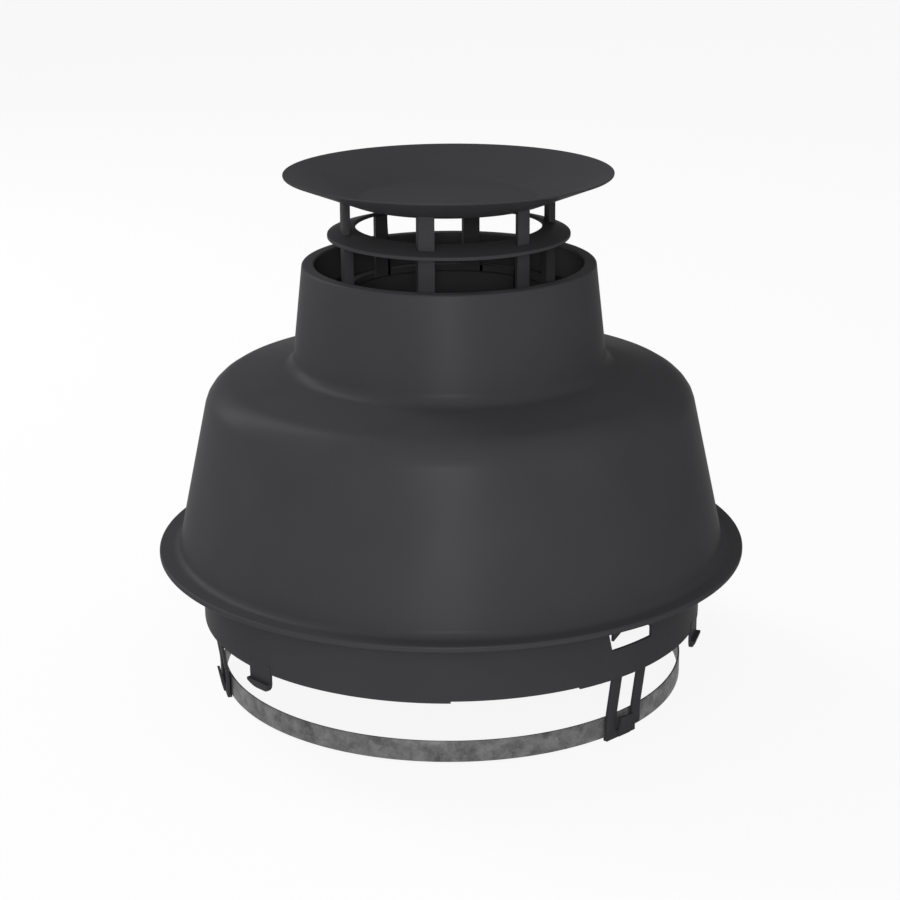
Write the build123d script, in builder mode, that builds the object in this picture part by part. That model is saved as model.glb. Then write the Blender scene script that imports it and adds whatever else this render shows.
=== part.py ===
from build123d import *
import os
from math import cos, radians, sin

# Flue cap for a round roof pipe, in millimetres, +Z up on the axis of the flue.
# Height zero is the underside of the three bracket feet, and the front of the cage faces -Y.
# A place round the axis is an angle in degrees from the front, counted towards +X.

# Roof pipe and clamp strap
PIPE_R = 83.0                # outside of the roof pipe, and inside of the strap
STRAP_THICKNESS = 0.65
STRAP_HEIGHT = 7.6
STRAP_ANGLE = 208.8          # where the strap's two ends meet
EAR_GAP = 8.0                # between the two upturned ends
EAR_LENGTH = 15.0            # from the pipe outwards
BOLT_REACH = 9.5             # bolt axis, from the pipe outwards
BOLT_D = 4.0
BOLT_LENGTH = 18.0
BOLT_HEAD_WIDTH = 7.0        # across flats, as on the nut
BOLT_HEAD_HEIGHT = 2.8
NUT_HEIGHT = 3.2
BOLT_PLAY = 0.3              # round the shank and under the head

# Base collar with its three brackets
COLLAR_STANDOFF = 6.9        # outside of the collar, from the roof pipe
COLLAR_WALL = 1.0
BRACKET_DROP = 25.0          # feet to the lower edge of the collar
COLLAR_HEIGHT = 24.4         # lower edge of the collar to the seat of the hood
COLLAR_SPIGOT = 11.0         # upright edge inside the hood
SEAT_THICKNESS = 2.0
SEAT_MARGIN = 2.5            # seat flange past the foot of the skirt
BRACKET_ANGLE = 28.8
BRACKET_COUNT = 3
BRACKET_WIDTH = 16.8
BRACKET_SLOT = 7.8           # width of the slot between the two strips of the leg
SLOT_SHIFT = 0.3             # middle of the slot, to the right of the bracket's middle
BRACKET_PLAY = 0.1           # strap to bracket
LEG_THICKNESS = 1.0
LEG_TOP_REACH = 4.2          # outside of the leg level with the collar's lower edge, from the roof pipe
LEG_ROOT = 3.0               # height of the roots of legs and hooks inside the collar
LEG_BITE = 0.3               # depth of the leg's root in the collar wall
FOOT_HEIGHT = 1.0            # ledge under the strap
BAR_HEIGHT = 2.6             # bar below the slot
SLOT_MARGIN = 0.4            # slot's end below the collar
NOTCH_WIDTH = 2.4            # cut out of the front leg's lower right corner
NOTCH_HEIGHT = 2.3
PRONG_WIDTH = 5.7
PRONG_THICKNESS = 0.9
PRONG_HEIGHT = 7.8
PRONG_LEAN = 1.5             # outwards, from its foot to its tip
PRONG_STEP = 0.5             # outside of its foot, from the leg outwards

# Locking windows above the brackets: a ramped top edge with one hanging tooth
WINDOW_LEFT = 13.0           # from the middle of the bracket
WINDOW_LEFT_FOOT = 11.3
WINDOW_RIGHT = 7.9
WINDOW_SILL = 10.7           # above the lower edge of the collar
WINDOW_RIGHT_HEIGHT = 4.4
WINDOW_LEFT_HEIGHT = 6.9
TOOTH_LEFT = 10.95
TOOTH_RIGHT = 6.95
TOOTH_HEIGHT = 3.3

# Snap hooks on the lower edge of the collar, and the shallow recess beside each bracket
HOOK_ANGLE = -61.5
HOOK_WIDTH = 10.8
HOOK_DROP = 6.9
HOOK_ROUND = 3.4             # lower corners of the tab
HOOK_BARB = 1.5
HOOK_BARB_DROP = 3.4         # barb's flat top, below the collar
HOOK_BARB_EDGE = 0.9
RECESS_START = -15.3
RECESS_ARC = 28.6
RECESS_DEPTH = 0.8

# Spider that carries the flue tube inside the collar
HUB_WALL = 2.4
HUB_HEIGHT = 22.0
HUB_PLAY = 0.15
RIB_LIFT = 3.0               # ribs, above the lower edge of the collar
RIB_HEIGHT = 16.0
RIB_THICKNESS = 2.4

# Hood
SKIRT_GAP = 8.1              # foot of the skirt, from the collar outwards
SKIRT_TAPER = 13.1           # foot of the skirt to its virtual upper corner
SKIRT_HEIGHT = 59.7
SHOULDER_RISE = 5.6
SHOULDER_ROUND = 11.8
BRIM_WIDTH = 7.0
BRIM_THICKNESS = 2.1
BRIM_FILLET = 3.2
BRIM_EDGE = 0.7
HOOD_WALL = 2.4
NECK_HEIGHT = 35.9
NECK_TAPER = 4.05
NECK_FILLET = 5.0
LIP_WIDTH = 4.4
LIP_DEPTH = 12.4
LIP_ROUND = 0.8
AIR_GAP = 9.0                # flue tube to the lip of the neck

# Flue tube with the six posts of the outlet cage
TUBE_R = 38.0
TUBE_WALL = 2.4
SPIGOT_LENGTH = 16.0         # below the hub
SPIGOT_STEP = 0.5            # spigot's outside, in from the tube's
TUBE_FLANGE = 4.6
TUBE_FLANGE_THICKNESS = 2.4
SILL_DROP = 9.2              # cage sill, below the rim of the neck
POST_X = 16.8                # middle of the front and back posts
POST_WIDTH = 5.1             # front and back posts
SIDE_POST_WIDTH = 5.7
POST_SHOULDER = 0.8          # step inwards that carries the louvre ring
SEAT_EASE = 0.05             # between pieces that sit on each other's cones

# Louvre ring
RING_LIFT = 9.2              # rim of the neck to the ring's outer edge
RING_OUTWARD = 4.3
RING_INWARD = 3.1
RING_RISE = 2.7
RING_THICKNESS = 1.3
RING_SLOT_EASE = 0.2

# Top dish
DISH_LIFT = 12.2             # ring's outer edge to the underside of the dish
DISH_OVERHANG = 19.1
DISH_FOOT_INSET = 2.4        # edge of the flat underside, inside the tube's bore
DISC_INSET = 2.3             # edge of the flat top, inside the edge of the underside
DISC_THICKNESS = 1.2
DISH_RISE = 8.9
DISH_EDGE = 0.7

COLLAR_R = PIPE_R + COLLAR_STANDOFF
COLLAR_INNER_R = COLLAR_R - COLLAR_WALL
SKIRT_R = COLLAR_R + SKIRT_GAP
BRIM_R = SKIRT_R + BRIM_WIDTH
TUBE_INNER_R = TUBE_R - TUBE_WALL
LIP_R = TUBE_R + AIR_GAP
NECK_RIM_R = LIP_R + LIP_WIDTH
HUB_INNER_R = TUBE_R + HUB_PLAY
STRAP_R = PIPE_R + STRAP_THICKNESS
LEG_INNER_R = STRAP_R + BRACKET_PLAY
LEG_OUTER_R = LEG_INNER_R + LEG_THICKNESS
DISH_R = TUBE_R + DISH_OVERHANG
DISH_FOOT_R = TUBE_INNER_R - DISH_FOOT_INSET

COLLAR_Z = BRACKET_DROP
SEAT_Z = COLLAR_Z + COLLAR_HEIGHT
BRIM_Z = SEAT_Z + BRIM_THICKNESS
SHOULDER_Z = BRIM_Z + SKIRT_HEIGHT
NECK_Z = SHOULDER_Z + SHOULDER_RISE
RIM_Z = NECK_Z + NECK_HEIGHT
RIB_Z = COLLAR_Z + RIB_LIFT
HUB_Z = RIB_Z + HUB_HEIGHT
TUBE_Z = RIB_Z - SPIGOT_LENGTH
SILL_Z = RIM_Z - SILL_DROP
RING_Z = RIM_Z + RING_LIFT
DISH_Z = RING_Z + DISH_LIFT
DISC_Z = DISH_Z + DISC_THICKNESS
DISH_RIM_Z = DISC_Z + DISH_RISE
STRAP_Z = FOOT_HEIGHT
BOLT_Z = STRAP_Z + STRAP_HEIGHT / 2
THIRD = 360 / BRACKET_COUNT


def outward(angle):
    """Unit direction from the axis at an angle from the front."""
    return Vector(sin(radians(angle)), -cos(radians(angle)), 0)


def section_plane(angle):
    """Upright half plane at an angle: x is the radius, y is the height."""
    return Plane(origin=(0, 0, 0), x_dir=outward(angle), z_dir=outward(angle + 90) * -1)


def face_plane(angle, radius):
    """Upright plane that touches a cylinder at an angle: x runs to the right, y is the height."""
    return Plane(origin=outward(angle) * radius, x_dir=outward(angle + 90), z_dir=outward(angle))


def turned_plane(angle, height):
    """Level plane with its x axis outwards at an angle."""
    return Plane(origin=(0, 0, height), x_dir=outward(angle), z_dir=(0, 0, 1))


def three_places(angle):
    """The angles of a feature that repeats with the brackets."""
    return [angle + THIRD * turn for turn in range(BRACKET_COUNT)]


def post_plan(inner_r, ease=0):
    """Adds the plan of the six posts to a sketch: the tube's wall left between straight windows."""
    across = 2 * (TUBE_R + ease)
    with Locations((-POST_X, 0), (POST_X, 0)):
        Rectangle(POST_WIDTH + 2 * ease, across)
    Rectangle(across, SIDE_POST_WIDTH + 2 * ease)
    Circle(TUBE_R + ease, mode=Mode.INTERSECT)
    Circle(inner_r - ease, mode=Mode.SUBTRACT)


# Hood: neck, shoulder, skirt and brim in one moulding
with BuildPart() as hood:
    with BuildSketch(Plane.XZ) as hood_section:
        with BuildLine():
            FilletPolyline(
                (NECK_RIM_R, RIM_Z),
                (NECK_RIM_R + NECK_TAPER, NECK_Z),
                (SKIRT_R - SKIRT_TAPER, SHOULDER_Z),
                (SKIRT_R, BRIM_Z),
                radius=[NECK_FILLET, SHOULDER_ROUND],
            )
            offset(amount=HOOD_WALL, side=Side.RIGHT)
        make_face()
        with Locations((LIP_R, RIM_Z)):
            Rectangle(LIP_WIDTH, LIP_DEPTH, align=(Align.MIN, Align.MAX))
        with Locations((SKIRT_R - HOOD_WALL, SEAT_Z)):
            Rectangle(HOOD_WALL + BRIM_WIDTH, BRIM_THICKNESS, align=(Align.MIN, Align.MIN))
        crease = hood_section.vertices().sort_by_distance((SKIRT_R, BRIM_Z))[0]
        fillet(crease, BRIM_FILLET)
        for rim_r in (LIP_R, NECK_RIM_R):
            fillet(hood_section.vertices().sort_by_distance((rim_r, RIM_Z))[0], LIP_ROUND)
        for edge_z in (SEAT_Z, BRIM_Z):
            fillet(hood_section.vertices().sort_by_distance((BRIM_R, edge_z))[0], BRIM_EDGE)
    revolve(axis=Axis.Z)

# One bracket of the base collar, at the front: a slotted leg with a leaning prong at its foot
with BuildPart() as bracket:
    root_r = COLLAR_INNER_R + LEG_BITE
    leg_top_r = PIPE_R + LEG_TOP_REACH
    strap_top = STRAP_Z + STRAP_HEIGHT
    with BuildSketch(section_plane(0)):
        with BuildLine():
            Polyline(
                (PIPE_R + BRACKET_PLAY, 0),
                (PIPE_R + BRACKET_PLAY, FOOT_HEIGHT),
                (LEG_INNER_R, FOOT_HEIGHT),
                (LEG_INNER_R, strap_top),
                (leg_top_r - LEG_THICKNESS, COLLAR_Z),
                (leg_top_r - LEG_THICKNESS, COLLAR_Z + LEG_ROOT),
                (root_r, COLLAR_Z + LEG_ROOT),
                (root_r, COLLAR_Z),
                (leg_top_r, COLLAR_Z),
                (LEG_OUTER_R, strap_top),
                (LEG_OUTER_R, 0),
                close=True,
            )
        make_face()
    extrude(amount=BRACKET_WIDTH / 2, both=True)
    with BuildSketch(face_plane(0, LEG_INNER_R)):
        with Locations((SLOT_SHIFT, BAR_HEIGHT)):
            slot_height = COLLAR_Z - SLOT_MARGIN - BAR_HEIGHT
            Rectangle(BRACKET_SLOT, slot_height, align=(Align.CENTER, Align.MIN))
    extrude(amount=COLLAR_STANDOFF, both=True, mode=Mode.SUBTRACT)
    with BuildSketch(section_plane(0)):
        with BuildLine():
            prong_foot = LEG_OUTER_R + PRONG_STEP
            Polyline(
                (LEG_OUTER_R - LEG_THICKNESS / 2, 0),
                (prong_foot, 0),
                (prong_foot + PRONG_LEAN, PRONG_HEIGHT),
                (prong_foot + PRONG_LEAN - PRONG_THICKNESS, PRONG_HEIGHT),
                (LEG_OUTER_R - LEG_THICKNESS / 2, BAR_HEIGHT / 2),
                close=True,
            )
        make_face()
    extrude(amount=PRONG_WIDTH / 2, both=True)

# One snap hook of the base collar, at the front: a rounded tab with a barb across it
with BuildPart() as snap_hook:
    with BuildSketch(section_plane(0)):
        with BuildLine():
            barb_z = COLLAR_Z - HOOK_BARB_DROP
            Polyline(
                (COLLAR_INNER_R, COLLAR_Z - HOOK_DROP),
                (COLLAR_R, COLLAR_Z - HOOK_DROP),
                (COLLAR_R + HOOK_BARB, barb_z - HOOK_BARB_EDGE),
                (COLLAR_R + HOOK_BARB, barb_z),
                (COLLAR_R, barb_z),
                (COLLAR_R, COLLAR_Z + LEG_ROOT),
                (COLLAR_INNER_R, COLLAR_Z + LEG_ROOT),
                close=True,
            )
        make_face()
    extrude(amount=HOOK_WIDTH / 2, both=True)
    with BuildSketch(face_plane(0, COLLAR_R)) as tab:
        with Locations((0, COLLAR_Z - HOOK_DROP)):
            Rectangle(HOOK_WIDTH, HOOK_DROP + LEG_ROOT, align=(Align.CENTER, Align.MIN))
        fillet(tab.vertices().group_by(Axis.Z)[0], HOOK_ROUND)
    extrude(amount=COLLAR_WALL + HOOK_BARB, both=True, mode=Mode.INTERSECT)

# Base collar: ring, seat flange, spider, brackets and snap hooks in one moulding
with BuildPart() as base_collar:
    with BuildSketch(Plane.XZ):
        with Locations((COLLAR_R, COLLAR_Z)):
            Rectangle(COLLAR_WALL, COLLAR_HEIGHT + COLLAR_SPIGOT, align=(Align.MAX, Align.MIN))
        with Locations((COLLAR_R, SEAT_Z)):
            Rectangle(SKIRT_GAP + SEAT_MARGIN, SEAT_THICKNESS, align=(Align.MIN, Align.MAX))
        with Locations((HUB_INNER_R, RIB_Z)):
            Rectangle(HUB_WALL, HUB_HEIGHT, align=(Align.MIN, Align.MIN))
    revolve(axis=Axis.Z)
    rib_start = HUB_INNER_R + HUB_WALL / 2
    rib_end = COLLAR_INNER_R + COLLAR_WALL / 2
    for angle in three_places(BRACKET_ANGLE + THIRD / 2):
        with BuildSketch(turned_plane(angle, RIB_Z)):
            with Locations((rib_start, 0)):
                Rectangle(rib_end - rib_start, RIB_THICKNESS, align=(Align.MIN, Align.CENTER))
        extrude(amount=RIB_HEIGHT)
    # windows and recesses are cut before the brackets are added
    sill = COLLAR_Z + WINDOW_SILL
    ramp_left = sill + WINDOW_LEFT_HEIGHT
    ramp_right = sill + WINDOW_RIGHT_HEIGHT
    ramp_slope = (ramp_left - ramp_right) / (WINDOW_LEFT + WINDOW_RIGHT)
    tooth_root_left = ramp_left - ramp_slope * (WINDOW_LEFT - TOOTH_LEFT)
    tooth_root_right = ramp_left - ramp_slope * (WINDOW_LEFT - TOOTH_RIGHT)
    for angle in three_places(BRACKET_ANGLE):
        with BuildSketch(face_plane(angle, COLLAR_R)):
            with BuildLine():
                Polyline(
                    (-WINDOW_LEFT_FOOT, sill),
                    (WINDOW_RIGHT, sill),
                    (WINDOW_RIGHT, ramp_right),
                    (-TOOTH_RIGHT, tooth_root_right),
                    (-TOOTH_LEFT, tooth_root_left - TOOTH_HEIGHT),
                    (-TOOTH_LEFT, tooth_root_left),
                    (-WINDOW_LEFT, ramp_left),
                    close=True,
                )
            make_face()
        extrude(amount=COLLAR_STANDOFF, both=True, mode=Mode.SUBTRACT)
    for angle in three_places(RECESS_START):
        with BuildSketch(section_plane(angle)):
            with Locations(((COLLAR_R + COLLAR_INNER_R) / 2, COLLAR_Z)):
                Rectangle(2 * COLLAR_WALL, 2 * RECESS_DEPTH)
        revolve(axis=Axis.Z, revolution_arc=RECESS_ARC, mode=Mode.SUBTRACT)
    with PolarLocations(0, BRACKET_COUNT, BRACKET_ANGLE):
        add(bracket.part)
    # only the front bracket shows the notch
    with BuildSketch(face_plane(BRACKET_ANGLE, LEG_INNER_R)):
        with Locations((BRACKET_WIDTH / 2, 0)):
            Rectangle(NOTCH_WIDTH, NOTCH_HEIGHT, align=(Align.MAX, Align.MIN))
    extrude(amount=COLLAR_STANDOFF, both=True, mode=Mode.SUBTRACT)
    with PolarLocations(0, BRACKET_COUNT, HOOK_ANGLE):
        add(snap_hook.part)

# Flue tube: spigot, seat flange and the six posts of the outlet cage
with BuildPart() as flue_tube:
    with BuildSketch(Plane.XY.offset(TUBE_Z)):
        Circle(TUBE_R - SPIGOT_STEP)
        Circle(TUBE_INNER_R, mode=Mode.SUBTRACT)
    extrude(amount=SPIGOT_LENGTH)
    with BuildSketch(Plane.XY.offset(RIB_Z)):
        Circle(TUBE_R)
        Circle(TUBE_INNER_R, mode=Mode.SUBTRACT)
    extrude(amount=SILL_Z - RIB_Z)
    with BuildSketch(Plane.XY.offset(HUB_Z)):
        Circle(TUBE_R + TUBE_FLANGE)
        Circle(TUBE_R - TUBE_WALL / 2, mode=Mode.SUBTRACT)
    extrude(amount=TUBE_FLANGE_THICKNESS)
    ring_slope = RING_RISE / (RING_OUTWARD + TUBE_WALL + RING_INWARD)
    ring_seat = RING_Z + ring_slope * (RING_OUTWARD + TUBE_WALL) - SEAT_EASE
    with BuildSketch(Plane.XY.offset(SILL_Z)):
        post_plan(TUBE_INNER_R - POST_SHOULDER)
    extrude(amount=ring_seat - SILL_Z)
    with BuildSketch(Plane.XY.offset(ring_seat)):
        post_plan(TUBE_INNER_R)
    extrude(amount=DISH_RIM_Z - ring_seat)
    # the posts end on the underside of the dish
    with BuildSketch(Plane.XZ):
        with BuildLine():
            Polyline(
                (0, DISH_Z - SEAT_EASE),
                (DISH_FOOT_R, DISH_Z - SEAT_EASE),
                (DISH_R, DISH_RIM_Z - DISH_EDGE - SEAT_EASE),
                (DISH_R, DISH_RIM_Z + DISH_RISE),
                (0, DISH_RIM_Z + DISH_RISE),
                close=True,
            )
        make_face()
    revolve(axis=Axis.Z, mode=Mode.SUBTRACT)

# Louvre ring: a shallow cone with a slot for each post
with BuildPart() as louvre_ring:
    ring_inner_r = TUBE_INNER_R - RING_INWARD
    ring_outer_r = TUBE_R + RING_OUTWARD
    with BuildSketch(Plane.XZ):
        with BuildLine():
            Polyline(
                (ring_outer_r, RING_Z),
                (ring_outer_r, RING_Z + RING_THICKNESS),
                (ring_inner_r, RING_Z + RING_RISE + RING_THICKNESS),
                (ring_inner_r, RING_Z + RING_RISE),
                close=True,
            )
        make_face()
    revolve(axis=Axis.Z)
    with BuildSketch(Plane.XY.offset(RING_Z - RING_THICKNESS)):
        post_plan(TUBE_INNER_R, RING_SLOT_EASE)
    extrude(amount=RING_RISE + 3 * RING_THICKNESS, mode=Mode.SUBTRACT)

# Top dish: flat disc with a flared rim
with BuildPart() as top_dish:
    with BuildSketch(Plane.XZ):
        with BuildLine():
            Polyline(
                (0, DISH_Z),
                (DISH_FOOT_R, DISH_Z),
                (DISH_R, DISH_RIM_Z - DISH_EDGE),
                (DISH_R, DISH_RIM_Z),
                (DISH_FOOT_R - DISC_INSET, DISC_Z),
                (0, DISC_Z),
                close=True,
            )
        make_face()
    revolve(axis=Axis.Z)

# Clamp strap: galvanised strip round the pipe, its ends turned up as two ears
with BuildPart() as strap_band:
    with BuildSketch(turned_plane(STRAP_ANGLE, STRAP_Z)):
        Circle(STRAP_R)
        Circle(PIPE_R, mode=Mode.SUBTRACT)
        with Locations((PIPE_R, 0)):
            Rectangle(EAR_LENGTH, EAR_GAP, mode=Mode.SUBTRACT)
        ear_middle = (EAR_GAP + STRAP_THICKNESS) / 2
        with Locations((PIPE_R, -ear_middle), (PIPE_R, ear_middle)):
            Rectangle(EAR_LENGTH, STRAP_THICKNESS, align=(Align.MIN, Align.CENTER))
    extrude(amount=STRAP_HEIGHT)
    with BuildSketch(section_plane(STRAP_ANGLE)):
        with Locations((PIPE_R + BOLT_REACH, BOLT_Z)):
            Circle(BOLT_D / 2 + BOLT_PLAY)
    extrude(amount=EAR_GAP, both=True, mode=Mode.SUBTRACT)

ear_face = EAR_GAP / 2 + STRAP_THICKNESS

# Clamp bolt, with its head clear of the ear
with BuildPart() as clamp_bolt:
    with BuildSketch(section_plane(STRAP_ANGLE).offset(ear_face + BOLT_PLAY)):
        with Locations((PIPE_R + BOLT_REACH, BOLT_Z)):
            RegularPolygon(BOLT_HEAD_WIDTH / 2, 6, major_radius=False)
    extrude(amount=BOLT_HEAD_HEIGHT)
    with BuildSketch(section_plane(STRAP_ANGLE).offset(ear_face + BOLT_PLAY)):
        with Locations((PIPE_R + BOLT_REACH, BOLT_Z)):
            Circle(BOLT_D / 2)
    extrude(amount=-BOLT_LENGTH)

# Nut against the other ear
with BuildPart() as clamp_nut:
    with BuildSketch(section_plane(STRAP_ANGLE).offset(-ear_face)):
        with Locations((PIPE_R + BOLT_REACH, BOLT_Z)):
            RegularPolygon(BOLT_HEAD_WIDTH / 2, 6, major_radius=False)
            Circle(BOLT_D / 2 + BOLT_PLAY, mode=Mode.SUBTRACT)
    extrude(amount=-NUT_HEIGHT)

pieces = {
    "hood": hood,
    "base_collar": base_collar,
    "flue_tube": flue_tube,
    "louvre_ring": louvre_ring,
    "top_dish": top_dish,
    "strap_band": strap_band,
    "clamp_bolt": clamp_bolt,
    "clamp_nut": clamp_nut,
}
os.makedirs("parts", exist_ok=True)
for name, piece in pieces.items():
    piece.part.label = name
    export_step(piece.part, f"parts/{name}.step")
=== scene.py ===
from math import cos, pi, radians, sin, tan
import bmesh
import bpy
from mathutils import Matrix, Vector


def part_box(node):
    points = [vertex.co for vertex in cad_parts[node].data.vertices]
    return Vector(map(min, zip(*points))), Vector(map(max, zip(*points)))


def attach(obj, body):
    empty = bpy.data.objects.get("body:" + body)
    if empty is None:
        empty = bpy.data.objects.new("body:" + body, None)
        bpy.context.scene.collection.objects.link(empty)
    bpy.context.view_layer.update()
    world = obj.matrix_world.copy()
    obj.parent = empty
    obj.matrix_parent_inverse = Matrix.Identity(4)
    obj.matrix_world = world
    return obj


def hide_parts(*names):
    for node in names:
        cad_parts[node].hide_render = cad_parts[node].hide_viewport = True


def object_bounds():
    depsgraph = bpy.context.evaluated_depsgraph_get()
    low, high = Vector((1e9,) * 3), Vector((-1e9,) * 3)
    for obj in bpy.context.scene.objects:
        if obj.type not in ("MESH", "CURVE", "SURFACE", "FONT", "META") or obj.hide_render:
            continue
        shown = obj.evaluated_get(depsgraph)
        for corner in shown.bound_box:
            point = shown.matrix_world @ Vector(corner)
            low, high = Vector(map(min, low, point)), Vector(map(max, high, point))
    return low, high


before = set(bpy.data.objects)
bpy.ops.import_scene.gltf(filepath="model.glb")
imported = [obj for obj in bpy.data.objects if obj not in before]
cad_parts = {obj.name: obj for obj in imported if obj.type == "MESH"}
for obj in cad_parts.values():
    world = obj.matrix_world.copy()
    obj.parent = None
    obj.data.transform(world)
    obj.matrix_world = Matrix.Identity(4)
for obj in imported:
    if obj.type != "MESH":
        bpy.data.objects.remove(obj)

cad_low, cad_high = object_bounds()
MM = 0.001               # the sizes below are in millimetres, the frame is in metres


# Base collar: the ring that the whole cap stands on, injection moulded in one shot from black polypropylene
# with its seat flange, the spider and hub inside it, three slotted brackets and three snap hooks.
# The brackets reach down past the ring and carry the strap that grips the roof pipe.


def linear(hex_colour):
    """An sRGB hex colour as linear red, green, blue and alpha."""
    channels = [int(hex_colour[i:i + 2], 16) / 255 for i in (1, 3, 5)]
    return [c / 12.92 if c <= 0.04045 else ((c + 0.055) / 1.055) ** 2.4 for c in channels] + [1]


def add_node(tree, kind, settings=None, links=None):
    """Adds one shader node, sets its properties and sockets, and links outputs to its inputs."""
    node = tree.nodes.new(kind)
    for name, value in (settings or {}).items():
        if isinstance(name, int) or name in node.inputs:
            node.inputs[name].default_value = value
        else:
            setattr(node, name, value)
    for name, output in (links or {}).items():
        tree.links.new(output, node.inputs[name])
    return node


def choose(kind, wanted):
    """In edit mode, selects the corners, edges or faces for which wanted() is true, and nothing else."""
    bpy.ops.mesh.select_mode(type=kind)
    bpy.ops.mesh.select_all(action="DESELECT")
    mesh = bmesh.from_edit_mesh(bpy.context.object.data)
    for item in {"VERT": mesh.verts, "EDGE": mesh.edges, "FACE": mesh.faces}[kind]:
        item.select_set(wanted(item))
    mesh.select_flush(True)
    bmesh.update_edit_mesh(bpy.context.object.data)


def draw_outline(name, corners):
    """Draws a closed outline on the XZ plane and stays in edit mode.

    Each corner is x and z in millimetres, and where it is rounded, how far back the rounding starts."""
    bpy.ops.object.select_all(action="DESELECT")
    bpy.ops.mesh.primitive_plane_add(size=MM)
    piece = bpy.context.object
    piece.name = name
    piece.data.name = name
    points = [Vector((corner[0], 0, corner[1])) * MM for corner in corners]
    bpy.ops.object.mode_set(mode="EDIT")
    bpy.ops.mesh.select_mode(type="VERT")
    bpy.ops.mesh.select_all(action="SELECT")
    bpy.ops.mesh.merge(type="CENTER")
    bpy.ops.transform.translate(value=points[0])
    for start, end in zip(points, points[1:]):
        bpy.ops.mesh.extrude_vertices_move(TRANSFORM_OT_translate={"value": end - start})
    bpy.ops.mesh.select_all(action="SELECT")
    bpy.ops.mesh.edge_face_add()
    for point, corner in zip(points, corners):
        if len(corner) == 3:
            choose("VERT", lambda vert: (vert.co - point).length < 1e-6)
            bpy.ops.mesh.bevel(offset=corner[2] * MM, segments=5, affect="VERTICES")
    return piece


def face_outwards():
    """Merges doubled corners, turns every face outwards and leaves edit mode."""
    bpy.ops.mesh.select_all(action="SELECT")
    bpy.ops.mesh.remove_doubles(threshold=0.001 * MM)
    bpy.ops.mesh.normals_make_consistent(inside=False)
    bpy.ops.object.mode_set(mode="OBJECT")


def spin_section(name, corners, steps=192):
    """Turns a section round the flue's axis: x is the radius and z the height."""
    piece = draw_outline(name, corners)
    bpy.ops.mesh.select_all(action="SELECT")
    bpy.ops.mesh.delete(type="ONLY_FACE")
    choose("EDGE", lambda edge: max(abs(vert.co.x) for vert in edge.verts) < 1e-7)
    bpy.ops.mesh.delete(type="EDGE")
    bpy.ops.mesh.select_all(action="SELECT")
    bpy.ops.mesh.spin(steps=steps, angle=2 * pi, center=(0, 0, 0), axis=(0, 0, 1))
    face_outwards()
    return piece


def push_outline(name, corners, start, end):
    """Gives an outline a depth along Y, from start to end."""
    piece = draw_outline(name, corners)
    bpy.ops.mesh.select_all(action="SELECT")
    bpy.ops.transform.translate(value=(0, start * MM, 0))
    bpy.ops.mesh.extrude_region_move(TRANSFORM_OT_translate={"value": (0, (end - start) * MM, 0)})
    face_outwards()
    return piece


def pick_up(piece):
    """Makes a piece the only selected object."""
    bpy.ops.object.select_all(action="DESELECT")
    piece.select_set(True)
    bpy.context.view_layer.objects.active = piece


def apply_modifier(piece, kind, settings):
    """Adds a modifier with its settings and applies it at once."""
    pick_up(piece)
    bpy.ops.object.modifier_add(type=kind)
    modifier = piece.modifiers[-1]
    for name, value in settings.items():
        setattr(modifier, name, value)
    bpy.ops.object.modifier_apply(modifier=modifier.name)


def combine(piece, operation, other):
    """Joins, cuts or trims a piece with another one, which is used up."""
    apply_modifier(piece, "BOOLEAN", {"operation": operation, "solver": "EXACT", "object": other})
    bpy.data.objects.remove(other)


sharp_angle = radians(40)


def round_edges(piece, width):
    """Rounds every sharp edge of a piece a little."""
    rounding = {"width": width * MM, "segments": 2, "limit_method": "ANGLE", "angle_limit": sharp_angle}
    apply_modifier(piece, "BEVEL", rounding)


def turn_round(piece, angle):
    """Turns a piece round the flue's axis by some degrees."""
    pick_up(piece)
    piece.rotation_euler.z = radians(angle)
    bpy.ops.object.transform_apply(location=False, rotation=True, scale=False)


def repeat_round(piece, first_angle):
    """Sets a piece in three places round the flue's axis, evenly from the first one, and joins the three."""
    turn_round(piece, first_angle)
    copies = []
    for step in (1, 2):
        bpy.ops.object.duplicate()
        copies.append(bpy.context.object)
        turn_round(copies[-1], 120)
    for copy in copies:
        copy.select_set(True)
    piece.select_set(True)
    bpy.context.view_layer.objects.active = piece
    bpy.ops.object.join()


def dress(piece, material):
    """Shades a finished piece smoothly, except over its sharp edges, and gives it its material."""
    pick_up(piece)
    bpy.ops.object.shade_smooth_by_angle(angle=radians(32))
    piece.data.materials.clear()
    piece.data.materials.append(material)


# Polypropylene from an eroded mould: a dark neutral grey with a dull satin skin that hardly brightens towards
# its edges, a fine even grain, and slow changes of tone that hardly show where the melt flowed.
flow_size = 22           # the slow changes of tone
grain_size = 0.9         # real grain is about 0.2, drawn coarser so that it shows
sheen_size = 7
polypropylene = bpy.data.materials.new("moulded_black_polypropylene")
polypropylene.use_nodes = True
tree = polypropylene.node_tree
shader = tree.nodes["Principled BSDF"]
shader.inputs["IOR"].default_value = 1.49
shader.inputs["Specular IOR Level"].default_value = 0.004
shader.inputs["Specular Tint"].default_value = (16, 16, 16, 1)
place = add_node(tree, "ShaderNodeTexCoord").outputs["Object"]
flow = add_node(tree, "ShaderNodeTexNoise", {"Scale": 1 / (flow_size * MM), "Detail": 2}, {"Vector": place})
tones = {"data_type": "RGBA", 6: linear("#3A3A3C"), 7: linear("#3F3F41")}
tone = add_node(tree, "ShaderNodeMix", tones, {0: flow.outputs["Fac"]})
sheen = add_node(tree, "ShaderNodeTexNoise", {"Scale": 1 / (sheen_size * MM), "Detail": 2}, {"Vector": place})
satin = {"To Min": 0.35, "To Max": 0.41}
satin = add_node(tree, "ShaderNodeMapRange", satin, {"Value": sheen.outputs["Fac"]})
grain = add_node(tree, "ShaderNodeTexNoise", {"Scale": 1 / (grain_size * MM), "Detail": 2}, {"Vector": place})
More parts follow.
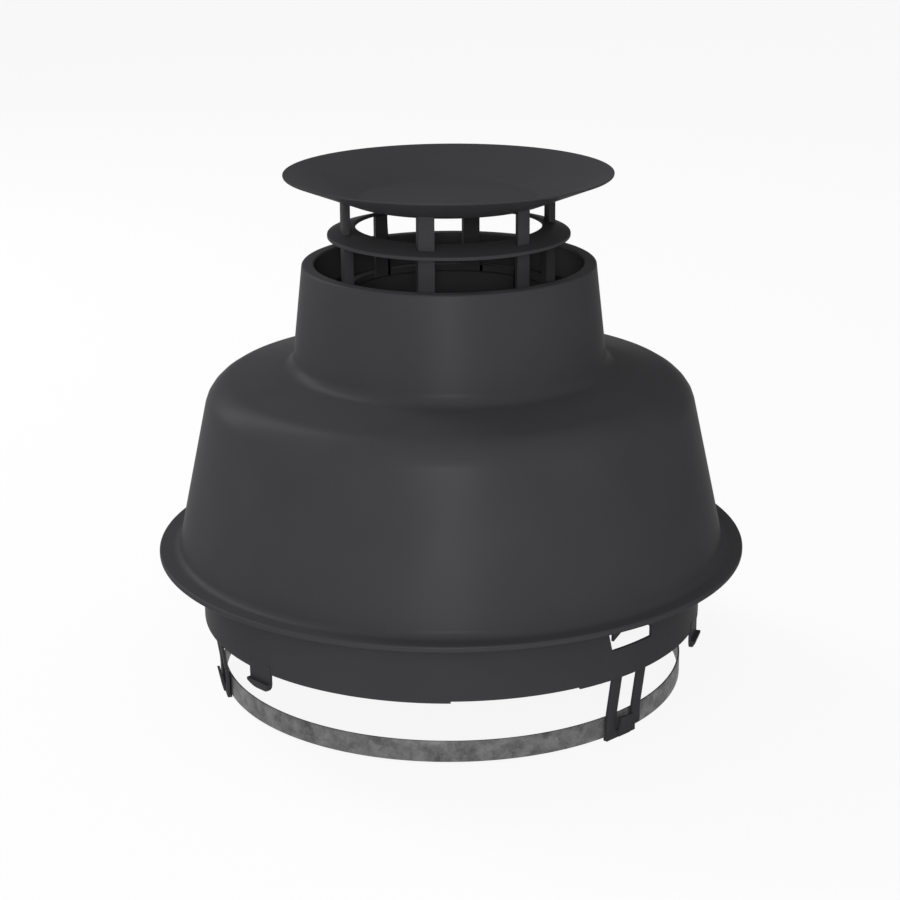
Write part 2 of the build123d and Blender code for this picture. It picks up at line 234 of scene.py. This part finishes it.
pebbles = {"Strength": 0.25, "Distance": 0.05 * MM}
pebbles = add_node(tree, "ShaderNodeBump", pebbles, {"Height": grain.outputs["Fac"]})
tree.links.new(tone.outputs[2], shader.inputs["Base Color"])
tree.links.new(satin.outputs["Result"], shader.inputs["Roughness"])
tree.links.new(pebbles.outputs["Normal"], shader.inputs["Normal"])

# ring with its seat flange and the upright edge inside the hood
collar_r = 89.9
collar_inner_r = 88.9
collar_z = 25.0
seat_z = 49.4
seat_r = 100.5
seat_thickness = 2.0
spigot_z = 60.4
edge = 0.3               # rounding of moulded edges
collar = spin_section("collar_moulding", [
    (collar_inner_r, collar_z, edge),
    (collar_r, collar_z, edge),
    (collar_r, seat_z - seat_thickness, edge),
    (seat_r, seat_z - seat_thickness, edge),
    (seat_r, seat_z, edge),
    (collar_r, seat_z),
    (collar_r, spigot_z, edge),
    (collar_inner_r, spigot_z, edge),
])

# locking windows, cut from the front outwards, with a ramped top edge and one hanging tooth
bracket_angle = 28.8
sill_z = 35.7
sill_left = -11.3
ramp_left = (-13.0, 42.6)
ramp_right = (7.9, 40.1)
tooth_right = (-6.95, 41.9)
tooth_left = (-10.95, 42.35)
tooth_tip_z = 39.05
window_reach = 5         # cut past both sides of the curved wall
window = push_outline("window", [
    (sill_left, sill_z, edge),
    (ramp_right[0], sill_z, edge),
    (*ramp_right, edge),
    (*tooth_right, edge),
    (tooth_left[0], tooth_tip_z),
    tooth_left,
    (*ramp_left, edge),
], -collar_r - window_reach, -collar_inner_r + window_reach)
repeat_round(window, bracket_angle)
combine(collar, "DIFFERENCE", window)

# shallow recess in the lower edge, beside each bracket
recess_start = -15.3
recess_arc = 28.6
recess_depth = 0.8
past_wall = 1            # how far cuts reach past what they cut
recess = draw_outline("recess", [
    (collar_inner_r - past_wall, collar_z - past_wall),
    (collar_r + past_wall, collar_z - past_wall),
    (collar_r + past_wall, collar_z + recess_depth),
    (collar_inner_r - past_wall, collar_z + recess_depth),
])
bpy.ops.mesh.select_all(action="SELECT")
bpy.ops.mesh.spin(steps=20, angle=-radians(recess_arc), center=(0, 0, 0), axis=(0, 0, 1))
face_outwards()
repeat_round(recess, recess_start - 90)
combine(collar, "DIFFERENCE", recess)

# hub and spider arms that hold the flue tube
hub_inner_r = 38.15
hub_r = 40.55
rib_z = 28.0
hub_z = 50.0
rib_top = 44.0
rib_thickness = 2.4
rib_bite = 0.5           # depth of its ends in the hub and the ring
hub = spin_section("hub", [
    (hub_inner_r, rib_z),
    (hub_r, rib_z, edge),
    (hub_r, hub_z, edge),
    (hub_inner_r, hub_z),
])
combine(collar, "UNION", hub)
rib = push_outline("rib", [
    (hub_r - rib_bite, rib_z),
    (collar_inner_r + rib_bite, rib_z),
    (collar_inner_r + rib_bite, rib_top),
    (hub_r - rib_bite, rib_top),
], -rib_thickness / 2, rib_thickness / 2)
repeat_round(rib, bracket_angle + 60 - 90)
combine(collar, "UNION", rib)

# one bracket, drawn towards +X: a leg bent to pass outside the strap, a slot and a leaning prong at its foot;
# only the front one has a notch in its lower right corner
foot_inner_r = 83.1
foot_height = 1.0
leg_inner_r = 83.75
leg_thickness = 1.0
leg_outer_r = leg_inner_r + leg_thickness
leg_top_r = 87.2
root_r = 89.2
root_height = 3          # of legs and hooks, inside the ring
root_z = collar_z + root_height
bend_z = 8.6
bend_start = 2           # how far from the bend its rounding starts
bracket_width = 16.8
bracket_edge = 0.16      # rounding of the bracket's edges
bracket = push_outline("bracket", [
    (foot_inner_r, 0),
    (foot_inner_r, foot_height),
    (leg_inner_r, foot_height),
    (leg_inner_r, bend_z, bend_start),
    (leg_top_r - leg_thickness, collar_z),
    (leg_top_r - leg_thickness, root_z),
    (root_r, root_z),
    (root_r, collar_z),
    (leg_top_r, collar_z),
    (leg_outer_r, bend_z, bend_start),
    (leg_outer_r, 0),
], -bracket_width / 2, bracket_width / 2)
slot_left = -3.6
slot_right = 4.2
bar_height = 2.6
slot_margin = 0.4
slot_top = collar_z - slot_margin
cut_start = -collar_r
cut_reach = 3            # past the inner side of the foot
cut_end = -foot_inner_r + cut_reach
slot = push_outline("slot", [
    (slot_left, bar_height, edge),
    (slot_right, bar_height, edge),
    (slot_right, slot_top, edge),
    (slot_left, slot_top, edge),
], cut_start, cut_end)
turn_round(slot, 90)
combine(bracket, "DIFFERENCE", slot)
prong_width = 5.7
prong_z = 0.2
prong_top = 7.8
prong_thickness = 0.9
prong_step = 0.5
prong_lean = 1.5
prong_foot_r = leg_outer_r + prong_step
prong_tip_r = prong_foot_r + prong_lean
prong = push_outline("prong", [
    (leg_outer_r - leg_thickness / 2, prong_z),
    (prong_foot_r, prong_z),
    (prong_tip_r, prong_top),
    (prong_tip_r - prong_thickness, prong_top),
    (leg_outer_r - leg_thickness / 2, bar_height / 2),
], -prong_width / 2, prong_width / 2)
combine(bracket, "UNION", prong)
round_edges(bracket, bracket_edge)
repeat_round(bracket, bracket_angle - 90)
notch_left = 6.0
notch_top = 2.3
past_edge = bracket_width / 2 + past_wall
notch = push_outline("notch", [
    (notch_left, -past_wall),
    (past_edge, -past_wall),
    (past_edge, notch_top),
    (notch_left, notch_top, edge),
], cut_start, cut_end)
turn_round(notch, bracket_angle)
combine(bracket, "DIFFERENCE", notch)
combine(collar, "UNION", bracket)

# one snap hook, drawn towards +X: a rounded tab with a barb across its outside
hook_angle = -61.5
hook_width = 10.8
hook_z = 18.1
hook_round = 3.4
barb_z = 21.6
barb_edge = 0.9
barb_depth = 1.5
barb_r = collar_r + barb_depth
hook = push_outline("hook", [
    (collar_inner_r, hook_z),
    (collar_r, hook_z),
    (barb_r, barb_z - barb_edge),
    (barb_r, barb_z),
    (collar_r, barb_z),
    (collar_r, root_z),
    (collar_inner_r, root_z),
], -hook_width / 2, hook_width / 2)
tab = push_outline("tab", [
    (-hook_width / 2, hook_z, hook_round),
    (hook_width / 2, hook_z, hook_round),
    (hook_width / 2, root_z),
    (-hook_width / 2, root_z),
], -barb_r - past_wall, -collar_inner_r + past_wall)
turn_round(tab, 90)
combine(hook, "INTERSECT", tab)
repeat_round(hook, hook_angle - 90)
combine(collar, "UNION", hook)
dress(collar, polypropylene)
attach(collar, "cap")
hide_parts("base_collar")


# Flue tube: a moulded polypropylene tube that stands in the collar's hub on its small flange.
# Its upper end is the outlet cage: straight windows cut through the wall leave six narrow posts.
tube_r = 38.0
tube_inner_r = 35.6
spigot_r = 37.5
tube_z = 12.0
flange_r = 42.6
flange_thickness = 2.4
cage_sill_z = 143.5
ring_seat_z = 163.7
post_shoulder = 0.8
post_edge = 0.25
shoulder_drop = 2        # foot of the shoulders, below the sill
shoulder_foot_z = cage_sill_z - shoulder_drop
dish_z = 174.1
dish_slope = 0.393
dish_foot_r = 33.2
dish_ease = 0.1          # left between the posts and the dish for the bond


def open_cage(piece, ease):
    """Cuts the six windows of the cage, narrower by some ease on each side of the posts."""
    post_x = 16.8
    post_width = 5.1
    side_post_width = 5.7
    inner_x = post_x - post_width / 2 - ease
    outer_x = post_x + post_width / 2 + ease
    side_y = side_post_width / 2 + ease
    reach = 60           # past the wall and the posts' upper ends
    top_z = 200
    across = push_outline("across", [
        (-inner_x, cage_sill_z),
        (inner_x, cage_sill_z),
        (inner_x, top_z),
        (-inner_x, top_z),
    ], -reach, reach)
    combine(piece, "DIFFERENCE", across)
    for right in (-1, 1):
        for rear in (-1, 1):
            corner = push_outline("corner", [
                (right * outer_x, cage_sill_z),
                (right * reach, cage_sill_z),
                (right * reach, top_z),
                (right * outer_x, top_z),
            ], rear * side_y, rear * reach)
            combine(piece, "DIFFERENCE", corner)


tube = spin_section("tube_moulding", [
    (tube_inner_r, tube_z, edge),
    (spigot_r, tube_z, edge),
    (spigot_r, rib_z),
    (tube_r, rib_z),
    (tube_r, hub_z),
    (flange_r, hub_z, edge),
    (flange_r, hub_z + flange_thickness, edge),
    (tube_r, hub_z + flange_thickness, edge),
    (tube_r, dish_z + dish_slope * (tube_r - dish_foot_r) - dish_ease),
    (tube_inner_r, dish_z + dish_slope * (tube_inner_r - dish_foot_r) - dish_ease),
    (tube_inner_r, ring_seat_z),
    (tube_inner_r - post_shoulder, ring_seat_z),
    (tube_inner_r - post_shoulder, shoulder_foot_z),
    (tube_inner_r, shoulder_foot_z - post_shoulder),
])
open_cage(tube, 0)
pick_up(tube)
bpy.ops.object.mode_set(mode="EDIT")
choose("EDGE", lambda side: (
    len(side.link_faces) == 2
    and side.calc_face_angle() > sharp_angle
    and abs(side.verts[0].co.z - side.verts[1].co.z) > 0.99 * side.calc_length()
    and min(vert.co.z for vert in side.verts) > (shoulder_foot_z - post_shoulder) * MM
))
bpy.ops.mesh.bevel(offset=post_edge * MM, segments=2, affect="EDGES")
bpy.ops.object.mode_set(mode="OBJECT")
dress(tube, polypropylene)
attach(tube, "cap")
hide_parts("flue_tube")


# Louvre ring: a shallow polypropylene cone that keeps rain out of the neck, moulded with six slots.
# It is pushed down over the posts and rests on their inner shoulders.
ring_z = 161.9
ring_r = 42.3
ring_inner_r = 32.5
ring_rise = 2.7
ring_thickness = 1.3
ring_edge = 0.35
slot_ease = 0.2
slot_foot_z = ring_z - 2
slot_head_z = ring_z + 8
ring = spin_section("ring_moulding", [
    (ring_r, ring_z, ring_edge),
    (ring_r, ring_z + ring_thickness, ring_edge),
    (ring_inner_r, ring_z + ring_rise + ring_thickness, ring_edge),
    (ring_inner_r, ring_z + ring_rise, ring_edge),
])
slots = spin_section("slots", [
    (tube_inner_r - slot_ease, slot_foot_z),
    (tube_r + slot_ease, slot_foot_z),
    (tube_r + slot_ease, slot_head_z),
    (tube_inner_r - slot_ease, slot_head_z),
])
open_cage(slots, slot_ease)
combine(ring, "DIFFERENCE", slots)
dress(ring, polypropylene)
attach(ring, "cap")
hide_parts("louvre_ring")


# Hood: the bell-shaped polypropylene moulding over the tube, with a flat brim, a tapering skirt, a sloping
# shoulder and a neck that ends in a thick lip. It is bonded on the collar's seat flange.
wall = 2.4
neck_rim = (51.4, 152.7)
neck_foot = (55.45, 116.8)
shoulder = (84.9, 111.2)
skirt_foot = (98.0, 51.5)
inner_seat_r = 96.0
brim_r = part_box("hood")[1].x / MM
lip_r = 47.0
lip_z = 140.3
lip_root_r = 50.4        # inner side of the wall at the foot of the lip
lip_round = 0.8
lip_bend = 1
brim_edge = 0.7

# how far from each corner of the section its rounding starts
neck_bend = 3.7
shoulder_bend = 7.8
skirt_bend = 2.6
inner_shoulder_bend = 6.2
inner_neck_bend = 5.4


def inner_corner(before, corner, after):
    """Where the wall's inner side turns, one wall thickness inside a corner of its outer side."""
    before, corner, after = (Vector(point) for point in (before, corner, after))
    into = (corner - before).normalized().orthogonal()
    out_of = (after - corner).normalized().orthogonal()
    return corner - (into + out_of) * wall / (1 + into.dot(out_of))


inner_foot = inner_corner(neck_rim, neck_foot, shoulder)
inner_shoulder = inner_corner(neck_foot, shoulder, skirt_foot)
hood = spin_section("hood_moulding", [
    (*neck_rim, lip_round),
    (*neck_foot, neck_bend),
    (*shoulder, shoulder_bend),
    (*skirt_foot, skirt_bend),
    (brim_r, skirt_foot[1], brim_edge),
    (brim_r, seat_z, brim_edge),
    (inner_seat_r, seat_z, edge),
    (*inner_shoulder, inner_shoulder_bend),
    (*inner_foot, inner_neck_bend),
    (lip_root_r, lip_z, lip_bend),
    (lip_r, lip_z, lip_bend),
    (lip_r, neck_rim[1], lip_round),
], steps=240)
dress(hood, polypropylene)
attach(hood, "cap")
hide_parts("hood")


# Top dish: a flat polypropylene disc with a flared rim that sheds rain and lets the wind draw the flue.
# It is moulded in one piece and bonded on the ends of the six posts.
dish_r = 57.1
dish_rim_z = 184.2
dish_edge = 0.7
edge_round = 0.25
disc_r = 30.9
disc_z = 175.3
disc_bend = 0.6
under_bend = 2
dish = spin_section("dish_moulding", [
    (0, dish_z),
    (dish_foot_r, dish_z, under_bend),
    (dish_r, dish_rim_z - dish_edge, edge_round),
    (dish_r, dish_rim_z, edge_round),
    (disc_r, disc_z, disc_bend),
    (0, disc_z),
], steps=240)
dress(dish, polypropylene)
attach(dish, "cap")
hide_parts("top_dish")


# Clamp strap: one strip of hot-dip galvanised steel, rolled round the roof pipe inside the three brackets.
# Both ends are bent outwards as ears and punched for the clamp bolt.
pipe_r = 83.0
strap_thickness = 0.65
strap_z = 1.0
strap_height = 7.6
strap_angle = 208.8
ear_gap = 8.0
ear_tip = 98.0
ear_bend = 1.5           # bend radius on the side that faces the other ear
bolt_r = 92.5
bolt_z = strap_z + strap_height / 2
half_gap = ear_gap / 2
bend_y = half_gap + ear_bend
ring_start_r = 82.85     # close to the pipe's radius
gap_angle = bend_y / ring_start_r
bend_steps = 6
ring_steps = 220
cut_edge = 0.12          # rounding of the strip's cut edges
strap = draw_outline("strap_strip", [(ear_tip, strap_z), (ear_tip, strap_z + strap_height)])
bpy.ops.mesh.select_all(action="SELECT")
bpy.ops.transform.translate(value=(0, half_gap * MM, 0))
bend_x = pipe_r * cos(gap_angle) + ear_bend
run_in = (bend_x - ear_tip) * MM
bpy.ops.mesh.extrude_edges_move(TRANSFORM_OT_translate={"value": (run_in, 0, 0)})
bend_centre = Vector((bend_x, bend_y, 0)) * MM
bpy.ops.mesh.spin(steps=bend_steps, angle=pi / 2 - gap_angle, center=bend_centre, axis=(0, 0, 1))
bpy.ops.mesh.spin(steps=ring_steps, angle=-2 * (pi - gap_angle), center=(0, 0, 0), axis=(0, 0, 1))
bend_centre.y = -bend_centre.y
bpy.ops.mesh.spin(steps=bend_steps, angle=pi / 2 - gap_angle, center=bend_centre, axis=(0, 0, 1))
bpy.ops.mesh.extrude_edges_move(TRANSFORM_OT_translate={"value": (-run_in, 0, 0)})
bpy.ops.mesh.select_all(action="SELECT")
bpy.ops.mesh.remove_doubles(threshold=0.001 * MM)
bpy.ops.mesh.normals_make_consistent(inside=False)
bpy.ops.object.mode_set(mode="OBJECT")
apply_modifier(strap, "SOLIDIFY", {"thickness": strap_thickness * MM, "offset": 1, "use_even_offset": True})
round_edges(strap, cut_edge)
hole_r = 2.3
hole_sides = 32
hole_turns = [2 * pi * side / hole_sides for side in range(hole_sides)]
hole = [(bolt_r + hole_r * cos(turn), bolt_z + hole_r * sin(turn)) for turn in hole_turns]
punch = push_outline("punch", hole, -ear_gap, ear_gap)
combine(strap, "DIFFERENCE", punch)
turn_round(strap, strap_angle - 90)

# Hot-dip galvanised steel: a dull grey zinc skin with spangle, small flat crystals that each catch the light
# a little differently, and a soft mottle where the zinc has weathered.
spangle_size = 3.2
mottle_size = 4.5
fleck_size = 0.9
ragged = 1.6             # how far the crystals' edges wander
galvanised = bpy.data.materials.new("hot_dip_galvanised_steel")
galvanised.use_nodes = True
tree = galvanised.node_tree
shader = tree.nodes["Principled BSDF"]
shader.inputs["Metallic"].default_value = 0.5
place = add_node(tree, "ShaderNodeTexCoord").outputs["Object"]
warp = add_node(tree, "ShaderNodeTexNoise", {"Scale": 1 / (ragged * MM), "Detail": 2}, {"Vector": place})
shift = {"operation": "MULTIPLY_ADD", 1: (ragged * MM, ragged * MM, ragged * MM)}
shift = add_node(tree, "ShaderNodeVectorMath", shift, {0: warp.outputs["Color"], 2: place})
crystals = {"Scale": 1 / (spangle_size * MM)}
crystals = add_node(tree, "ShaderNodeTexVoronoi", crystals, {"Vector": shift.outputs[0]})
mottle = {"Scale": 1 / (mottle_size * MM), "Detail": 3}
mottle = add_node(tree, "ShaderNodeTexNoise", mottle, {"Vector": place})
fleck = add_node(tree, "ShaderNodeTexNoise", {"Scale": 1 / (fleck_size * MM), "Detail": 2}, {"Vector": place})
facet = add_node(tree, "ShaderNodeSeparateColor", {}, {"Color": crystals.outputs["Color"]})
blend = {"operation": "MULTIPLY_ADD", 1: 0.25}
blend = add_node(tree, "ShaderNodeMath", blend, {0: facet.outputs["Red"], 2: mottle.outputs["Fac"]})
flecked = {"operation": "MULTIPLY_ADD", 1: 0.4}
flecked = add_node(tree, "ShaderNodeMath", flecked, {0: fleck.outputs["Fac"], 2: blend.outputs[0]})
spread = {"From Min": 0.55, "From Max": 1.1}
spread = add_node(tree, "ShaderNodeMapRange", spread, {"Value": flecked.outputs[0]})
greys = {"data_type": "RGBA", 6: linear("#525252"), 7: linear("#808080")}
grey = add_node(tree, "ShaderNodeMix", greys, {0: spread.outputs["Result"]})
polish = {"To Min": 0.5, "To Max": 0.64}
polish = add_node(tree, "ShaderNodeMapRange", polish, {"Value": facet.outputs["Green"]})
tilt = {"Strength": 0.3, "Distance": 0.1 * MM}
tilt = add_node(tree, "ShaderNodeBump", tilt, {"Height": flecked.outputs[0]})
tree.links.new(grey.outputs[2], shader.inputs["Base Color"])
tree.links.new(polish.outputs["Result"], shader.inputs["Roughness"])
tree.links.new(tilt.outputs["Normal"], shader.inputs["Normal"])
dress(strap, galvanised)
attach(strap, "cap")
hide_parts("strap_band")


# Clamp bolt: an M4 hexagon bolt of zinc-plated steel, cold headed and thread rolled.
# It passes through both ears and draws the strap tight as it is turned.
head_width = 7.0         # across flats, as on the nut
head_height = 2.8
bolt_length = 18.0
thread_r = 2.0
core_r = 1.62
pitch = 0.7
flank_start = 0.09       # along one pitch of the thread, as are the next three
crest_start = 0.31
crest_end = 0.39
flank_end = 0.61
point_taper = 0.86       # width of the first turn of the thread
bolt_play = 0.3
ear_face = half_gap + strap_thickness


def hexagon(name, height, both_ends):
    """A hexagon that stands on the XY plane, its corners turned off at the upper end or at both ends."""
    corner_r = head_width / 2 / cos(pi / 6)
    face_r = 0.95 * head_width / 2
    turned_r = corner_r + 0.2
    turned_angle = radians(30)
    drop = (turned_r - face_r) * tan(turned_angle)
    bpy.ops.object.select_all(action="DESELECT")
    bpy.ops.mesh.primitive_cylinder_add(vertices=6, radius=corner_r * MM, depth=height * MM)
    blank = bpy.context.object
    blank.name = name
    blank.data.name = name
    bpy.ops.transform.translate(value=(0, 0, height / 2 * MM))
    bpy.ops.object.transform_apply(location=True, rotation=True, scale=True)
    lower_end = [(face_r, 0), (turned_r, drop)] if both_ends else [(turned_r, 0)]
    turned = spin_section("turned", [
        (0, 0),
        *lower_end,
        (turned_r, height - drop),
        (face_r, height),
        (0, height),
    ], steps=64)
    combine(blank, "INTERSECT", turned)
    return blank


def put_on_bolt_axis(piece, along):
    """Moves a piece that was made along +Z to the bolt's axis, some way from the middle of the ears."""
    pick_up(piece)
    turn = Matrix.Rotation(radians(strap_angle - 90), 4, "Z")
    shift = Matrix.Translation(Vector((bolt_r, along, bolt_z)) * MM)
    piece.matrix_world = turn @ shift @ Matrix.Rotation(pi / 2, 4, "X")
    bpy.ops.object.transform_apply(location=True, rotation=True, scale=True)


bolt = hexagon("bolt_forging", head_height, False)
thread = draw_outline("thread", [
    (core_r, -bolt_length),
    (core_r, -bolt_length + flank_start),
    (thread_r, -bolt_length + crest_start),
    (thread_r, -bolt_length + crest_end),
    (core_r, -bolt_length + flank_end),
    (core_r, -bolt_length + pitch),
])
bpy.ops.mesh.delete(type="ONLY_FACE")
choose("EDGE", lambda side: side.calc_length() > 0.99 * pitch * MM)
bpy.ops.mesh.delete(type="EDGE")
bpy.ops.object.mode_set(mode="OBJECT")
turns = int(bolt_length / pitch)
helix = {"axis": "Z", "angle": 2 * pi, "screw_offset": pitch * MM, "iterations": turns, "steps": 24,
         "render_steps": 24, "use_merge_vertices": True, "merge_threshold": 0.001 * MM}
apply_modifier(thread, "SCREW", helix)
bpy.ops.object.mode_set(mode="EDIT")
choose("EDGE", lambda edge: len(edge.link_faces) == 1)
bpy.ops.mesh.fill_holes(sides=0)
choose("VERT", lambda vert: vert.co.z < (-bolt_length + pitch) * MM)
bpy.ops.transform.resize(value=(point_taper, point_taper, 1), center_override=(0, 0, -bolt_length * MM))
face_outwards()
bolt.select_set(True)
bpy.context.view_layer.objects.active = bolt
bpy.ops.object.join()
put_on_bolt_axis(bolt, -ear_face - bolt_play)

# Bright zinc plating: smooth, slightly blue grey, a little duller in patches where the bath left it matt.
patch_size = 2.5
zinc = bpy.data.materials.new("zinc_plated_steel")
zinc.use_nodes = True
tree = zinc.node_tree
shader = tree.nodes["Principled BSDF"]
shader.inputs["Metallic"].default_value = 1
place = add_node(tree, "ShaderNodeTexCoord").outputs["Object"]
patches = {"Scale": 1 / (patch_size * MM), "Detail": 3}
patches = add_node(tree, "ShaderNodeTexNoise", patches, {"Vector": place})
zincs = {"data_type": "RGBA", 6: linear("#8E9194"), 7: linear("#A9ACB0")}
zinc_tone = add_node(tree, "ShaderNodeMix", zincs, {0: patches.outputs["Fac"]})
dull = {"To Min": 0.24, "To Max": 0.42}
dull = add_node(tree, "ShaderNodeMapRange", dull, {"Value": patches.outputs["Fac"]})
tree.links.new(zinc_tone.outputs[2], shader.inputs["Base Color"])
tree.links.new(dull.outputs["Result"], shader.inputs["Roughness"])
dress(bolt, zinc)
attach(bolt, "bolt")
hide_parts("clamp_bolt")


# Clamp nut: an M4 hexagon nut of zinc-plated steel that lies against the second ear.
# The ear keeps it from turning while the bolt is tightened.
nut_height = 3.2
bore_r = 2.15
chamfer_depth = 0.4
past_end = 1
mouth_r = bore_r + chamfer_depth + past_end
nut = hexagon("nut_pressing", nut_height, True)
bore = spin_section("bore", [
    (0, -past_end),
    (mouth_r, -past_end),
    (bore_r, chamfer_depth),
    (bore_r, nut_height - chamfer_depth),
    (mouth_r, nut_height + past_end),
    (0, nut_height + past_end),
], steps=48)
combine(nut, "DIFFERENCE", bore)
put_on_bolt_axis(nut, ear_face + nut_height)
dress(nut, zinc)
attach(nut, "cap")
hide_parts("clamp_nut")


# Floor: a wide sheet of matt white paper. Most of its white is shown to the camera as it is,
# so it stays white under soft light and keeps a pale shadow under the cap.
floor_size = 40          # metres
floor_white = 0.9        # share that the camera sees as plain white
bpy.ops.object.select_all(action="DESELECT")
bpy.ops.mesh.primitive_plane_add(size=floor_size, location=(0, 0, cad_low.z))
floor = bpy.context.object
floor.name = "floor"
bpy.ops.object.transform_apply(location=True, rotation=True, scale=True)
paper = bpy.data.materials.new("white_paper")
paper.use_nodes = True
tree = paper.node_tree
tree.nodes.clear()
ray = add_node(tree, "ShaderNodeLightPath").outputs
seen = {0: ray["Is Camera Ray"], 1: ray["Is Glossy Ray"]}
seen = add_node(tree, "ShaderNodeMath", {"operation": "MAXIMUM"}, seen)
seen = {0: seen.outputs[0], 1: ray["Is Transmission Ray"]}
seen = add_node(tree, "ShaderNodeMath", {"operation": "MAXIMUM"}, seen)
share = add_node(tree, "ShaderNodeMath", {"operation": "MULTIPLY", 1: floor_white}, {0: seen.outputs[0]})
matt = add_node(tree, "ShaderNodeBsdfDiffuse", {"Color": linear("#F4F4F4")})
plain = add_node(tree, "ShaderNodeEmission", {"Color": (1, 1, 1, 1), "Strength": 1})
parts = {0: share.outputs[0], 1: matt.outputs[0], 2: plain.outputs[0]}
sheet = add_node(tree, "ShaderNodeMixShader", {}, parts)
add_node(tree, "ShaderNodeOutputMaterial", {}, {"Surface": sheet.outputs[0]})
floor.data.materials.append(paper)


# Studio light: an even grey room, a large softbox over the camera, a small light at the camera that reaches
# into the cage, a high softbox for the top, and one on the left, a little behind, that draws the bright
# crescent on the shoulder.
room_light = 0.4
world = bpy.data.worlds.new("studio")
bpy.context.scene.world = world
world.use_nodes = True
room = world.node_tree.nodes["Background"]
room.inputs["Color"].default_value = (1, 1, 1, 1)
room.inputs["Strength"].default_value = room_light
aim_height = 83.18
aim = Vector((0, 0, aim_height * MM))
camera_azimuth = -15
# each lamp's turn from the camera and its height in degrees, its watts, and its sizes and distance in metres
for name, side, height, watts, width, depth, reach in (
    ("front_softbox", -3, 22, 6, 0.6, 0.6, 1.6),
    ("camera_light", 0, 17.8, 0.95, 0.06, 0.06, 0.78),
    ("high_softbox", -4, 55, 3, 1.0, 1.0, 1.6),
    ("left_softbox", -126, 34, 9, 0.35, 1.1, 1.2),
):
    turn = radians(camera_azimuth + side)
    lift = radians(height)
    towards = Vector((sin(turn) * cos(lift), -cos(turn) * cos(lift), sin(lift)))
    bpy.ops.object.light_add(type="AREA", location=aim + towards * reach)
    lamp = bpy.context.object
    lamp.name = name
    lamp.data.energy = watts
    lamp.data.shape = "RECTANGLE"
    lamp.data.size = width
    lamp.data.size_y = depth
    lamp.rotation_mode = "QUATERNION"
    lamp.rotation_quaternion = (-towards).to_track_quat("-Z", "Y")


# Camera: a long lens a little above the cap, turned to the left of its front, with the photo's slight roll.
camera_elevation = radians(17.804)
camera_distance = 0.7621
camera_roll = radians(-0.406)
picture_size = 900
shift_right = 0.38       # pixels of a picture of that size, to the photo's framing
shift_down = 0.5
turn = radians(camera_azimuth)
back = Vector((sin(turn) * cos(camera_elevation), -cos(turn) * cos(camera_elevation), sin(camera_elevation)))
bpy.ops.object.camera_add(location=aim + back * camera_distance)
camera = bpy.context.object
camera.data.lens = 84.97
camera.data.sensor_width = 36
camera.data.shift_x = -shift_right / picture_size
camera.data.shift_y = shift_down / picture_size
camera.rotation_mode = "QUATERNION"
facing = (-back).to_track_quat("-Z", "Y").to_matrix() @ Matrix.Rotation(camera_roll, 3, "Z")
camera.rotation_quaternion = facing.to_quaternion()
bpy.context.scene.camera = camera
bpy.context.scene.view_settings.view_transform = "Standard"
